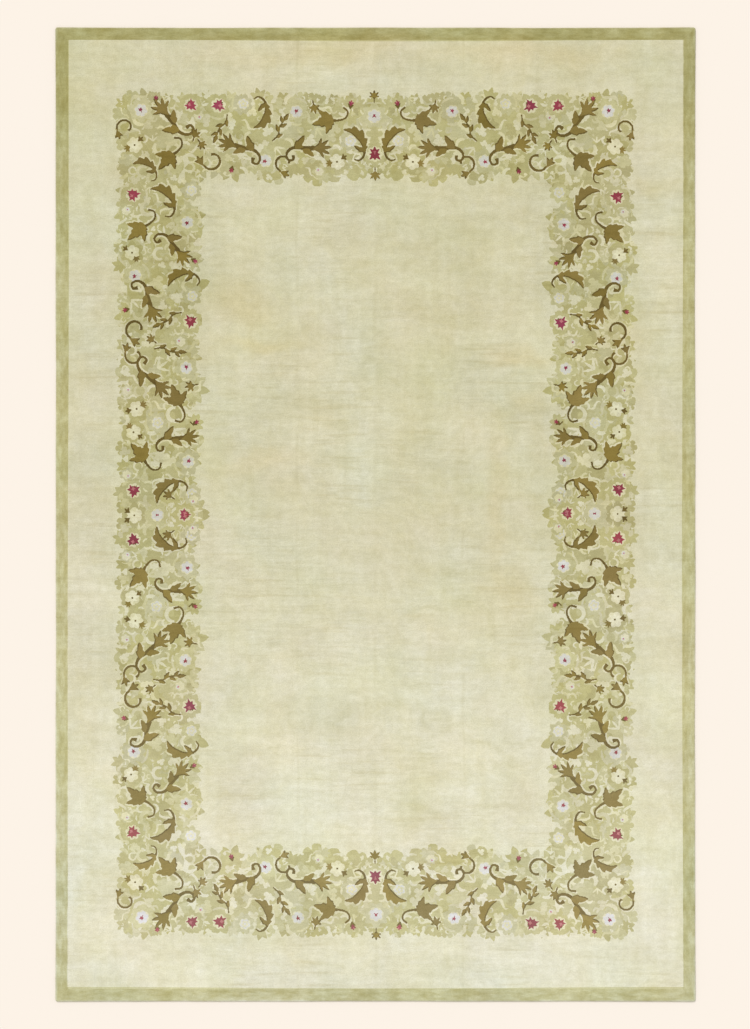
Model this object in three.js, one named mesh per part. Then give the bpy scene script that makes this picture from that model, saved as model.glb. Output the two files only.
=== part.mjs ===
// A room-size hand-knotted wool rug lying flat: thick cut pile on a woven foundation, made in one piece.
// Millimetres, +Z up out of the pile, +Y along the rug, +X across it, origin in the middle of the underside.

import * as THREE from 'three';

// Driving dimensions
const RUG_WIDTH = 3200;
const RUG_LENGTH = 4870;
const RUG_THICKNESS = 10;
const FOUNDATION_THICKNESS = 3;
const PILE_ROUNDING = 6;
const CORNER_SOFTNESS = 4;
const SWELL_DEPTH = 1.6;

// How finely the faces are divided
const CELLS_ACROSS = 24;
const CELLS_ALONG = 36;
const ROUNDING_STEPS = 3;
const FIRST_LINE = 16;

// Hand weaving draws each side in by a few millimetres between its corners.
// waves counts the hollows along the side, and depth is how far each one reaches in.
const SIDE_DRIFT = {
  left: [{ waves: 1, depth: 1.2 }, { waves: 4, depth: 1.1 }, { waves: 7, depth: 0.9 }],
  right: [{ waves: 2, depth: 2.2 }, { waves: 5, depth: 1.3 }, { waves: 9, depth: 0.8 }],
  near: [{ waves: 1, depth: 0.9 }, { waves: 3, depth: 1.4 }, { waves: 8, depth: 0.7 }],
  far: [{ waves: 2, depth: 1.9 }, { waves: 3, depth: 0.8 }, { waves: 6, depth: 0.9 }],
};

// Broad swells of the pile where it lies a little fuller or flatter, each by its wavelengths in both directions.
const PILE_SWELLS = [
  { across: 2650, along: 3900, turn: 0.7 },
  { across: 1480, along: 2120, turn: 2.4 },
  { across: 910, along: 1230, turn: 4.1 },
];

// A side's drift at a share of its length: nothing at the corners, so that they keep the rug's full size.
function drift(side, share) {
  return SIDE_DRIFT[side].reduce(
    (sum, { waves, depth }) => sum + depth * Math.sin(Math.PI * waves * share) ** 2, 0);
}

// The plan position of a point at u across and v along, both from -1 to 1, moved in from a side it lies on.
function planPosition(u, v, inset) {
  const shareAcross = (u + 1) / 2;
  const shareAlong = (v + 1) / 2;
  const halfWidth = RUG_WIDTH / 2 - drift(u < 0 ? 'left' : 'right', shareAlong);
  const halfLength = RUG_LENGTH / 2 - drift(v < 0 ? 'near' : 'far', shareAcross);
  const onSideAcross = Math.abs(u) === 1 ? 1 : 0;
  const onSideAlong = Math.abs(v) === 1 ? 1 : 0;
  const cornerInset = inset + CORNER_SOFTNESS * onSideAcross * onSideAlong;
  return [
    u * halfWidth - Math.sign(u) * onSideAcross * cornerInset,
    v * halfLength - Math.sign(v) * onSideAlong * cornerInset,
  ];
}

// The height of the pile's surface at a place in plan.
function pileHeight(x, y) {
  const swell = PILE_SWELLS.reduce((sum, { across, along, turn }) => (
    sum + Math.cos(2 * Math.PI * x / across + turn) * Math.cos(2 * Math.PI * y / along - turn)
  ), 0) / PILE_SWELLS.length;
  return RUG_THICKNESS - SWELL_DEPTH * (1 - swell) / 2;
}

// Lines from -1 to 1 over a size: one at each edge, one just inside each edge, and even cells between those.
function latticeLines(size, cells) {
  const inner = 1 - 2 * FIRST_LINE / size;
  const even = Array.from({ length: cells + 1 }, (_, k) => inner * (2 * k / cells - 1));
  return [-1, ...even, 1];
}

// The lattice places round the edge, anticlockwise from above, starting at the near left corner.
function edgePlaces(lastColumn, lastRow) {
  const places = [];
  for (let i = 0; i < lastColumn; i += 1) places.push([i, 0]);
  for (let j = 0; j < lastRow; j += 1) places.push([lastColumn, j]);
  for (let i = lastColumn; i > 0; i -= 1) places.push([i, lastRow]);
  for (let j = lastRow; j > 0; j -= 1) places.push([0, j]);
  return places;
}

function rugGeometry() {
  const columns = latticeLines(RUG_WIDTH, CELLS_ACROSS);
  const rows = latticeLines(RUG_LENGTH, CELLS_ALONG);
  const lastColumn = columns.length - 1;
  const lastRow = rows.length - 1;
  const edge = edgePlaces(lastColumn, lastRow);
  const positions = [];
  const triangles = [];

  function addVertex(x, y, z) {
    positions.push(x, y, z);
    return positions.length / 3 - 1;
  }

  function addQuad(a, b, c, d) {
    triangles.push(a, b, c, a, c, d);
  }

  // One ring of vertices round the edge, moved in by inset, at a height that may depend on the place.
  function addRing(inset, heightAt) {
    return edge.map(([i, j]) => {
      const [x, y] = planPosition(columns[i], rows[j], inset);
      return addVertex(x, y, heightAt(x, y));
    });
  }

  // The side: upright beside the foundation, then rounded over to the surface of the pile.
  const rings = [addRing(0, () => 0), addRing(0, () => FOUNDATION_THICKNESS)];
  for (let step = 1; step <= ROUNDING_STEPS; step += 1) {
    const angle = (Math.PI / 2) * (step / ROUNDING_STEPS);
    const inset = PILE_ROUNDING * (1 - Math.cos(angle));
    const rise = (x, y) => (pileHeight(x, y) - FOUNDATION_THICKNESS) * Math.sin(angle);
    rings.push(addRing(inset, (x, y) => FOUNDATION_THICKNESS + rise(x, y)));
  }
  for (let level = 1; level < rings.length; level += 1) {
    edge.forEach((_, k) => {
      const next = (k + 1) % edge.length;
      addQuad(rings[level - 1][k], rings[level - 1][next], rings[level][next], rings[level][k]);
    });
  }

  // The pile's surface: the last ring is its border, and the places inside it follow the swells.
  const surface = columns.map(() => []);
  edge.forEach(([i, j], k) => {
    surface[i][j] = rings[rings.length - 1][k];
  });
  for (let i = 1; i < lastColumn; i += 1) {
    for (let j = 1; j < lastRow; j += 1) {
      const [x, y] = planPosition(columns[i], rows[j], 0);
      surface[i][j] = addVertex(x, y, pileHeight(x, y));
    }
  }
  for (let i = 0; i < lastColumn; i += 1) {
    for (let j = 0; j < lastRow; j += 1) {
      addQuad(surface[i][j], surface[i + 1][j], surface[i + 1][j + 1], surface[i][j + 1]);
    }
  }

  // The flat underside: strips right across, and a fan where a strip meets the end of the rug.
  const underside = new Map(edge.map(([i, j], k) => [`${i} ${j}`, rings[0][k]]));
  const under = (i, j) => underside.get(`${i} ${j}`);
  for (let j = 1; j < lastRow - 1; j += 1) {
    addQuad(under(0, j), under(0, j + 1), under(lastColumn, j + 1), under(lastColumn, j));
  }
  for (let i = 0; i < lastColumn; i += 1) {
    triangles.push(under(0, 1), under(i + 1, 0), under(i, 0));
    triangles.push(under(lastColumn, lastRow - 1), under(i, lastRow), under(i + 1, lastRow));
  }
  triangles.push(under(0, 1), under(lastColumn, 1), under(lastColumn, 0));
  triangles.push(under(lastColumn, lastRow - 1), under(0, lastRow - 1), under(0, lastRow));

  const geometry = new THREE.BufferGeometry();
  geometry.setAttribute('position', new THREE.Float32BufferAttribute(positions, 3));
  geometry.setIndex(triangles);
  geometry.computeVertexNormals();
  return geometry;
}

// Wool pile in the pale green cream of the rug's ground
const woolPile = new THREE.MeshStandardMaterial({ color: 0xd9d5b2, roughness: 0.95, metalness: 0 });

const artDecoRug = new THREE.Group();
const rug = new THREE.Mesh(rugGeometry(), woolPile);
rug.name = 'rug';
artDecoRug.add(rug);

export default artDecoRug;
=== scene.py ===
"""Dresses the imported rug: its drawing in dyed wool, the grain and tones of the cut pile, and its rim."""

import math
import random

import bpy
import numpy as np
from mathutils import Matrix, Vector
from mathutils.geometry import delaunay_2d_cdt


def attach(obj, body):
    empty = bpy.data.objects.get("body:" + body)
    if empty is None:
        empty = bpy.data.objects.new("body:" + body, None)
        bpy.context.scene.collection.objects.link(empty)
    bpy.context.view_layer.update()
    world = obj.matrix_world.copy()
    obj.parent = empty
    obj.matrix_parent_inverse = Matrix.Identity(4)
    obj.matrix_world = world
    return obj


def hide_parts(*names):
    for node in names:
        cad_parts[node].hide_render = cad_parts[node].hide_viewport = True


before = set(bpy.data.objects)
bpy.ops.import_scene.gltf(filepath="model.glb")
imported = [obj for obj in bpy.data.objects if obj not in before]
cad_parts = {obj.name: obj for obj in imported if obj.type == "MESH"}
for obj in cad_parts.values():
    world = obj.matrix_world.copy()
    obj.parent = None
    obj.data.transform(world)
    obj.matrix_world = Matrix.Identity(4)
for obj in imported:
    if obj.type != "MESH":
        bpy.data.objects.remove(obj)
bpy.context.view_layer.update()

TAU = 2 * math.pi

# The rug's size in metres, as in the part's source

RUG_WIDTH = 3.2
RUG_LENGTH = 4.87
RUG_THICKNESS = 0.01
FOUNDATION = 0.003
PILE_ROUNDING = 0.006
SWELL_DEPTH = 0.0016
CORNER_RADIUS = 0.012
HALF_WIDTH = RUG_WIDTH / 2
HALF_LENGTH = RUG_LENGTH / 2

# The olive edge band: its width at the long sides and at each end

BORDER_SIDE = 0.064
BORDER_NEAR = 0.071
BORDER_FAR = 0.067

# The floral frame: how far its middle line is from the rug's middle, across and along, and half its width

BAND_X = 1.075
BAND_Y = 1.8925
BAND_HALF = 0.2175
PATH_LENGTH = BAND_X + BAND_Y

# Light that falls on the rug, of which the world gives one share and the window the other

WORLD_STRENGTH = 0.8
LAMP_SHARE = 0.35
PHOTO_LIGHT = WORLD_STRENGTH + LAMP_SHARE

# Dyes: how each looks on screen, and how far its depth and warmth vary by patch. OUTSIDE is off the rug.

(GROUND, BORDER, OLIVE, SAGE, MOSS, BROWN, UMBER, CRIMSON, ROSE, ICE, CREAM, PALE, FADED, BACK) = range(14)
OUTSIDE = -1
GREENS = (OLIVE, SAGE, MOSS)
DYES = {
    GROUND: (214, 209, 175), BORDER: (191, 186, 137), OLIVE: (185, 179, 127), SAGE: (191, 186, 141),
    MOSS: (178, 171, 118), BROWN: (134, 116, 59), UMBER: (106, 89, 42), CRIMSON: (147, 62, 76),
    ROSE: (184, 118, 116), ICE: (208, 206, 193), CREAM: (221, 216, 179), PALE: (213, 207, 168),
    FADED: (201, 195, 153), BACK: (196, 188, 158),
}
SHADE_SEED = 5
SHADE_DEPTH = {OLIVE: 0.05, SAGE: 0.06, MOSS: 0.06, BROWN: 0.14, UMBER: 0.12, CRIMSON: 0.18, ROSE: 0.12,
               PALE: 0.04, FADED: 0.05, CREAM: 0.03}
SHADE_WARMTH = {OLIVE: 0.08, SAGE: 0.08, MOSS: 0.08, BROWN: 0.17, PALE: 0.05, FADED: 0.08, CRIMSON: 0.15}


def albedo(look):
    """The colour of a matt surface that has a screen colour, from 0 to 255, in the studio's light."""
    return tuple(((c / 255 + 0.055) / 1.055) ** 2.4 / PHOTO_LIGHT for c in look)


def tint(dye, shades):
    """A dye's colour in one patch of the drawing, a little off the next patch's."""
    depth = 1 + SHADE_DEPTH.get(dye, 0.0) * shades.uniform(-1, 1)
    warmth = 1 + SHADE_WARMTH.get(dye, 0.0) * shades.uniform(-1, 1)
    red, green, blue = albedo(DYES[dye])
    return red * depth, green * depth, blue * depth * warmth


# The chart: the drawing of one quarter of the rug in small cells, from the rug's middle outwards

CELL = 0.0025
QUARTER_WIDTH = 1.36
QUARTER_LENGTH = 2.18


class Chart:
    """One quarter's dyes: cell [i, j] lies i across and j along from the rug's middle."""

    def __init__(self):
        self.columns = round(QUARTER_WIDTH / CELL)
        self.rows = round(QUARTER_LENGTH / CELL)
        self.dyes = np.full((self.columns, self.rows), GROUND, np.int8)

    def inside(self, outline):
        """The block of cells round an outline, and which of them lie inside it."""
        low = np.floor(outline.min(0) / CELL).astype(int)
        high = np.ceil(outline.max(0) / CELL).astype(int) + 1
        i0, j0 = max(low[0], 0), max(low[1], 0)
        i1, j1 = min(high[0], self.columns), min(high[1], self.rows)
        if i1 <= i0 or j1 <= j0:
            return (slice(0, 0), slice(0, 0)), np.zeros((0, 0), bool)
        x = ((np.arange(i0, i1) + 0.5) * CELL)[:, None]
        y = ((np.arange(j0, j1) + 0.5) * CELL)[None, :]
        within = np.zeros((i1 - i0, j1 - j0), bool)
        for (ax, ay), (bx, by) in zip(outline, np.roll(outline, -1, 0)):
            if ay != by:
                within ^= ((ay > y) != (by > y)) & (x < ax + (y - ay) * (bx - ax) / (by - ay))
        return (slice(i0, i1), slice(j0, j1)), within

    def knot(self, outline, dye, over=None):
        """Knots the inside of an outline in a dye, everywhere or only over some dyes."""
        block, within = self.inside(outline)
        if over is not None:
            within &= np.isin(self.dyes[block], over)
        self.dyes[block][within] = dye


class Spot:
    """A place, size and direction, in which outlines of unit size are knotted."""

    def __init__(self, x, y, size, turn, flip=1):
        self.x, self.y, self.size, self.turn, self.flip = x, y, size, turn, flip

    def put(self, outline):
        """An outline's points in the chart."""
        c, s = math.cos(self.turn), math.sin(self.turn)
        u, v = outline[:, 0] * self.size, outline[:, 1] * self.size * self.flip
        return np.column_stack((self.x + c * u - s * v, self.y + s * u + c * v))

    def at(self, u, v, scale, turn):
        """A spot at u, v of this one, scaled and turned with it."""
        (x, y), = self.put(np.array([[u, v]]))
        return Spot(x, y, self.size * scale, self.turn + self.flip * turn, self.flip)

    def moved(self, dx, dy):
        return Spot(self.x + dx, self.y + dy, self.size, self.turn, self.flip)


# Outlines of unit size, from their root or middle at 0 along +X

def leaf(width=0.5, teeth=3, bite=0.2, bend=0.0):
    """A pointed leaf with toothed sides."""
    t = np.linspace(0, 1, teeth * 5 + 1)
    half = width / 2 * np.sin(np.pi * t ** 0.8) ** 0.9
    half = half * (1 + bite * (2 * ((t * teeth) % 1.0) - 1) * (t < 0.96))
    middle = bend * np.sin(np.pi * t)
    upper = np.column_stack((t, middle + half))
    lower = np.column_stack((t, middle - half))[::-1]
    return np.vstack((upper, lower))


def palmate(lobes=5, depth=0.45, spread=2.2, sharp=1.0):
    """A leaf of lobes fanned about its root: pointed where sharp is 1 or more, rounded below."""
    a = np.linspace(-spread, spread, lobes * 6 + 1)
    wave = np.abs(((a + spread) / (2 * spread) * lobes) % 1.0 - 0.5) * 2
    lobe = (1 - wave) if sharp >= 1 else np.sqrt(1 - wave ** 2)
    length = (1 - depth + depth * lobe ** sharp) * (1 - 0.32 * (a / spread) ** 2)
    centre = 0.36
    reach = (1 - centre) * length
    return np.vstack((np.column_stack((centre + reach * np.cos(a), reach * np.sin(a))), [[0.06, 0.0]]))


def rosette(lobes=6, depth=0.2):
    """A round flower of petals."""
    a = np.arange(lobes * 6) * TAU / (lobes * 6)
    r = 1 - depth + depth * np.abs(np.cos(lobes * a / 2)) ** 0.8
    return np.column_stack((r * np.cos(a), r * np.sin(a)))


def rays(count=8, inner=0.5, uneven=0.0):
    """A star of pointed petals."""
    a = np.arange(count * 2) * TAU / (count * 2)
    r = np.where(np.arange(count * 2) % 2 == 0, 1.0, inner)
    r = r * (1 + uneven * np.cos(3 * a + 1.0))
    return np.column_stack((r * np.cos(a), r * np.sin(a)))


def curve(points, steps=8):
    """A smooth line through a few points."""
    p = np.array(points, float)
    p = np.vstack((2 * p[0] - p[1], p, 2 * p[-1] - p[-2]))
    t = (np.arange(steps) / steps)[:, None]
    parts = []
    for k in range(1, len(p) - 2):
        b = p[k + 1] - p[k - 1]
        c = 2 * p[k - 1] - 5 * p[k] + 4 * p[k + 1] - p[k + 2]
        d = -p[k - 1] + 3 * p[k] - 3 * p[k + 1] + p[k + 2]
        parts.append(0.5 * (2 * p[k] + b * t + c * t ** 2 + d * t ** 3))
    return np.vstack(parts + [p[-2:-1]])


def ribbon(points, widths, lobes=0, bite=0.5):
    """A stroke along a curve with a width at each point, and pointed lobes along its left side if any."""
    line = curve(points)
    share = np.linspace(0, 1, len(line))
    half = np.interp(share, np.linspace(0, 1, len(widths)), widths) / 2
    way = np.gradient(line, axis=0)
    way /= np.maximum(np.hypot(*way.T), 1e-9)[:, None]
    normal = np.column_stack((-way[:, 1], way[:, 0]))
    left = half * (1 + bite * (2 * ((lobes * share) % 1.0) - 1)) if lobes else half
    return np.vstack((line + normal * left[:, None], (line - normal * half[:, None])[::-1]))


def arc(sweep, width, start=0.0):
    """A crescent stroke round part of a circle of radius 0.5, thickest in its middle."""
    a = start + np.linspace(0, sweep, 12)
    half = width / 2 * (0.35 + 0.65 * np.sin(np.linspace(0.15, 1, 12) * np.pi * 0.9))
    outer, inner = 0.5 + half, 0.5 - half
    return np.vstack((np.column_stack((outer * np.cos(a), outer * np.sin(a))),
                      np.column_stack((inner * np.cos(a), inner * np.sin(a)))[::-1]))


# Places in the floral frame

def along_band(s, t):
    """The place s along the frame from a short side's middle and t outwards, and its heading."""
    if s < BAND_X:
        return s, BAND_Y + t, 0.0
    return BAND_X + t, PATH_LENGTH - s, -math.pi / 2


def distance_out(x, y):
    """How far a place lies outside the frame's middle line, negative inside."""
    return max(x - BAND_X, y - BAND_Y)


# The green mass: how far out its edges are, and the depth, length and start of its inner edge's waves

INNER_MASS = -0.122
OUTER_MASS = 0.164
MASS_WAVES = ((0.022, 0.31, 1.0), (0.014, 0.127, 0.0))
# Its leaves: side, spacing, smallest and largest size, and how far out their roots are
EDGE_LEAVES = (
    (1, 0.046, (0.062, 0.088), OUTER_MASS - 0.018),
    (-1, 0.044, (0.07, 0.15), INNER_MASS + 0.02),
)
LEAF_REACH = 0.19
LEAF_JITTER = (0.3, 0.7)
LEAF_LEAN = 0.75
ROOT_SCATTER = (-0.012, 0.016)
CORNER_ROOM = 0.04
GREEN_PATCHES = 260
GREEN_PATCH_SIZES = (0.06, 0.11)
GREEN_PATCH_DYES = (SAGE, MOSS, OLIVE)


def knot_mass(chart):
    """Solid green between the frame's edges."""
    x = ((np.arange(chart.columns) + 0.5) * CELL)[:, None]
    y = ((np.arange(chart.rows) + 0.5) * CELL)[None, :]
    out = np.maximum(x - BAND_X, y - BAND_Y)
    along = np.where(y - BAND_Y > x - BAND_X, x, PATH_LENGTH - y)
    reach = sum(depth * np.sin(TAU * along / length + start) for depth, length, start in MASS_WAVES)
    chart.dyes[(out > INNER_MASS + reach) & (out < OUTER_MASS)] = OLIVE


def edge_leaf(rng):
    """The outline of one leaf at an edge of the mass, of one of three kinds."""
    kind = rng.random()
    if kind < 0.45:
        return palmate(5, 0.42, 2.1, 1.0)
    if kind < 0.8:
        return palmate(rng.choice((3, 5)), 0.3, 2.0, 0.6)
    return leaf(0.62, 3, 0.25, 0.05)


def knot_edge_leaves(chart, rng):
    """Leaves all along both edges of the mass, pointing away from it."""
    for side, spacing, sizes, root in EDGE_LEAVES:
        for on_end in (True, False):
            length = (BAND_X if on_end else BAND_Y) + side * LEAF_REACH
            count = round(length / spacing)
            for k in range(count):
                s = (k + rng.uniform(*LEAF_JITTER)) * length / count
                size = rng.uniform(*sizes)
                lean = rng.uniform(-LEAF_LEAN, LEAF_LEAN)
                base = root + rng.uniform(*ROOT_SCATTER)
                if on_end:
                    x, y, way = s, BAND_Y + base, side * math.pi / 2
                else:
                    x, y, way = BAND_X + base, s, 0.0 if side > 0 else math.pi
                if side < 0 and distance_out(x, y) > root + CORNER_ROOM:
                    continue
                chart.knot(Spot(x, y, size, way + lean).put(edge_leaf(rng)), rng.choice(GREENS))


def knot_green_patches(chart, rng):
    """Lobed patches of the three greens over the mass."""
    for _ in range(GREEN_PATCHES):
        s = rng.uniform(0, PATH_LENGTH)
        x, y, _ = along_band(s, rng.uniform(-LEAF_REACH, LEAF_REACH))
        shape = palmate(rng.choice((3, 5, 5, 7)), 0.4, 2.3, rng.choice((0.6, 1.0)))
        spot = Spot(x, y, rng.uniform(*GREEN_PATCH_SIZES), rng.uniform(0, TAU))
        chart.knot(spot.put(shape), rng.choice(GREEN_PATCH_DYES), GREENS)


# Light marks between the green leaves: hooks, bows, rings, waves, fans of strokes and small gaps

def fan_stroke(turn):
    """One of a fan's strokes."""
    c, s = math.cos(turn), math.sin(turn)
    return ribbon(((0, 0), (0.5 * c, 0.5 * s), (0.95 * c, 0.95 * s)), (0.14, 0.22, 0.06))


WAVE_POINTS = ((-0.7, -0.12), (-0.3, 0.16), (0.1, -0.05), (0.5, -0.16), (0.75, 0.1))
WAVE_WIDTHS = (0.06, 0.26, 0.22, 0.18, 0.04)
# Each kind's outlines, and how often each kind comes up
MARKS = (
    (arc(4.2, 0.3),),
    (arc(2.4, 0.32),),
    (arc(5.6, 0.26, 0.5),),
    (ribbon(WAVE_POINTS, WAVE_WIDTHS),),
    [fan_stroke(turn) for turn in (-0.8, 0, 0.8)],
    (palmate(3, 0.5, 2.4, 0.8),),
)
MARK_SHARES = (4, 6, 1, 4, 3, 9)
# Passes from the largest marks to the smallest: size, and how many places are tried
MARK_PASSES = ((0.06, 300), (0.048, 1500), (0.034, 3500), (0.022, 4000), (0.015, 3000))
MARK_SIZES = (0.85, 1.2)
MARK_ROOM = 0.5
MARK_REACH = 0.2
MARK_DYES = (PALE, GROUND, FADED)
MARK_DYE_SHARES = (4, 3, 3)


def knot_marks(chart, rng):
    """Light marks all over the green, each clear of the others."""
    taken = []
    for size, tries in MARK_PASSES:
        for _ in range(tries):
            x = rng.uniform(0, BAND_X + MARK_REACH)
            y = rng.uniform(0, BAND_Y + MARK_REACH)
            if not -MARK_REACH < distance_out(x, y) < MARK_REACH:
                continue
            this = size * rng.uniform(*MARK_SIZES)
            if any((x - a) ** 2 + (y - b) ** 2 < (MARK_ROOM * (this + c)) ** 2 for a, b, c in taken):
                continue
            shapes, = rng.choices(MARKS, MARK_SHARES)
            along = 0.0 if y - BAND_Y > x - BAND_X else math.pi / 2
            turn = along + rng.uniform(-1.0, 1.0) + rng.choice((0, math.pi))
            spot = Spot(x, y, this, turn, rng.choice((-1, 1)))
            taken.append((x, y, this))
            dye, = rng.choices(MARK_DYES, MARK_DYE_SHARES)
            for shape in shapes:
                chart.knot(spot.put(shape), dye, GREENS)


# Flowers, each on its ring of leaves

def leafy_ring(chart, spot, count, dye, reach):
    """Leaves all round a flower, with light crescents between some of their tips and a pale edge inside."""
    for k in range(count):
        a = spot.turn + TAU * k / count
        size = spot.size * reach * (1 + 0.08 * math.cos(3 * a))
        chart.knot(Spot(spot.x, spot.y, size, a).put(leaf(0.8, 2, 0.22)), dye)
    for a, sweep in ((0.6, 1.0), (3.4, 1.2)):
        crescent = Spot(spot.x, spot.y, spot.size * reach * 2.1, spot.turn + a)
        chart.knot(crescent.put(arc(sweep, 0.09)), FADED, GREENS)
    chart.knot(Spot(spot.x, spot.y, spot.size * 1.14, spot.turn).put(rosette(count, 0.2)), PALE)


def knot_flower(chart, spot, ring, parts):
    """A flower's ring, if it has one, and its parts from the lowest up."""
    if ring:
        leafy_ring(chart, spot, *ring)
    for *place, outline, dye in parts:
        chart.knot(spot.at(*place).put(outline), dye)


# Where a part lies in its motif: place, scale and turn. This one fills the motif.
WHOLE = (0, 0, 1, 0)
# Each flower's ring, as a count of leaves, their dye and reach, then each part's place, outline and dye
FLOWERS = {
    "blossom": ((7, SAGE, 2.1), (
        (*WHOLE, rosette(6, 0.28), ICE),
        (0.1, 0.08, 0.46, 0.3, rays(5, 0.45, 0.2), CRIMSON),
    )),
    "aster": ((8, OLIVE, 1.9), (
        (-0.75, 0.1, 1.5, 0.1, palmate(5, 0.5, 1.7), UMBER),
        (*WHOLE, rays(8, 0.55, 0.2), CRIMSON),
        (0.25, 0.1, 0.35, 0.4, rays(4, 0.5), ROSE),
    )),
    "star": ((6, MOSS, 1.9), (
        (0.3, -0.3, 1.25, -0.5, palmate(5, 0.5, 1.6), BROWN),
        (-0.3, 0.5, 1.1, 2.2, palmate(3, 0.5, 1.4), UMBER),
        (*WHOLE, rays(7, 0.5, 0.15), CREAM),
        (0, 0, 0.16, 0, rosette(4, 0.2), UMBER),
    )),
    "bud": (None, (
        *[(0, 0, 2.2, turn, leaf(0.55, 3, 0.25), OLIVE) for turn in (-1.0, -0.35, 0.35, 1.0)],
        (-0.5, 0, 1.5, 0, palmate(3, 0.4, 1.2), UMBER),
        (0.1, 0, 1.3, 0, palmate(3, 0.4, 1.3), CRIMSON),
        (0.75, 0.12, 0.5, 0, leaf(0.45, 2, 0.1), ROSE),
    )),
    # A small pale flower seen from its side
    "bell": ((6, SAGE, 1.8), (
        (*WHOLE, palmate(5, 0.3, 1.9, 0.6), ICE),
        (0.45, 0, 0.32, 0, rays(4, 0.5), ROSE),
    )),
    # A pale flower with grey edges to its petals
    "ghost": ((7, SAGE, 2.0), (
        (*WHOLE, rosette(5, 0.38), ICE),
        (0, 0, 0.72, 0.1, rosette(5, 0.42), PALE),
        (0, 0, 0.26, 0, rosette(4, 0.3), ICE),
    )),
}


# Brown stems with leaves

DARK_EDGE = 0.0065


def knot_brown(chart, spot, light, parts):
    """A dark stem, the first part, and dark-edged brown leaves, over the same in pale wool to one side."""
    side = spot.turn + spot.flip * math.pi / 2
    dx, dy = math.cos(side), math.sin(side)
    spots = [(spot.at(*place), outline) for *place, outline in parts]
    for where, outline in spots:
        chart.knot(where.moved(light * dx, light * dy).put(outline), PALE, GREENS)
    for where, outline in spots:
        chart.knot(where.put(outline), UMBER)
    for where, outline in spots[1:]:
        chart.knot(where.moved(DARK_EDGE * dx, DARK_EDGE * dy).put(outline), BROWN, (UMBER,))


HOOK_TURNS = np.linspace(0, 4.4, 8)
HOOK_RADII = np.linspace(0.5, 0.26, 8)
HOOK_LINE = np.column_stack((HOOK_RADII * np.cos(HOOK_TURNS), HOOK_RADII * np.sin(HOOK_TURNS)))
TWIG_LEAVES = ((-0.34, -0.02, 0.28, 0.75), (-0.14, 0.02, 0.3, -0.65), (0.04, 0, 0.28, 0.8),
               (0.2, 0.03, 0.26, -0.5), (0.28, 0.06, 0.32, 0.25))
# How far each one's pale wool shows, then the place and outline of its stem and of each leaf
SCROLLS = {
    # A winding stem with a curl at its root, a leaf at its bend and a fan of leaves at its end
    "scroll": (0.009, (
        (*WHOLE, ribbon(((-0.4, 0.02), (-0.46, 0.12), (-0.57, 0.06), (-0.52, -0.09), (-0.32, -0.14),
                         (-0.08, -0.02), (0.14, 0.08)), (0.09, 0.055, 0.05, 0.06, 0.075, 0.095, 0.12))),
        (0.04, 0.05, 0.54, 0.35, palmate(5, 0.52, 1.45)),
        (-0.3, -0.13, 0.4, -0.45, leaf(0.46, 2, 0.22, 0.06)),
        (-0.14, -0.05, 0.36, 1.05, leaf(0.46, 2, 0.22, -0.06)),
    )),
    # A bent feathery leaf on a thin stem
    "plume": (0.009, (
        (*WHOLE, ribbon(((-0.34, -0.44), (-0.46, -0.34), (-0.44, -0.16), (-0.3, 0.0)),
                        (0.03, 0.05, 0.06, 0.08))),
        (*WHOLE, ribbon(((-0.38, -0.1), (-0.2, 0.06), (0.04, 0.12), (0.28, 0.06), (0.48, -0.14)),
                        (0.06, 0.17, 0.27, 0.22, 0.02), 5, 0.45)),
        (-0.36, -0.08, 0.34, -0.35, leaf(0.4, 2, 0.2)),
    )),
    # A hooked tendril that ends in a leaf
    "curl": (0.007, (
        (*WHOLE, ribbon(HOOK_LINE, (0.1, 0.1, 0.12, 0.12, 0.1, 0.09, 0.14))),
        (0.5, 0.1, 0.62, -1.5, palmate(3, 0.45, 1.2)),
    )),
    # Three leaves fanned from a bent stem
    "spray": (0.009, (
        (*WHOLE, ribbon(((-0.42, 0.24), (-0.5, 0.08), (-0.38, -0.06), (-0.16, -0.06), (0.02, 0.0)),
                        (0.06, 0.045, 0.05, 0.06, 0.1))),
        (-0.06, 0, 0.5, 0.85, leaf(0.44, 3, 0.24, -0.06)),
        (-0.06, 0, 0.62, 0.05, leaf(0.44, 3, 0.24)),
        (-0.06, 0, 0.46, -0.8, leaf(0.44, 3, 0.24, 0.06)),
    )),
    # A winding stem with leaves on alternate sides, all pointing forwards
    "twig": (0.006, (
        (*WHOLE, ribbon(((-0.5, -0.1), (-0.24, 0.03), (0.04, -0.01), (0.32, 0.07)),
                        (0.04, 0.055, 0.055, 0.04))),
        *[(*place, leaf(0.46, 2, 0.15)) for place in TWIG_LEAVES],
    )),
    # A small lobed leaf on a short stem
    "sprig": (0.005, (
        (-0.3, 0, 0.6, 0, leaf(0.22, 2, 0.1)),
        (*WHOLE, palmate(5, 0.5, 2.0)),
    )),
}


# The layout. Each panel's motifs: metres along it, metres out from the frame's middle line, size and turn.

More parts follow.
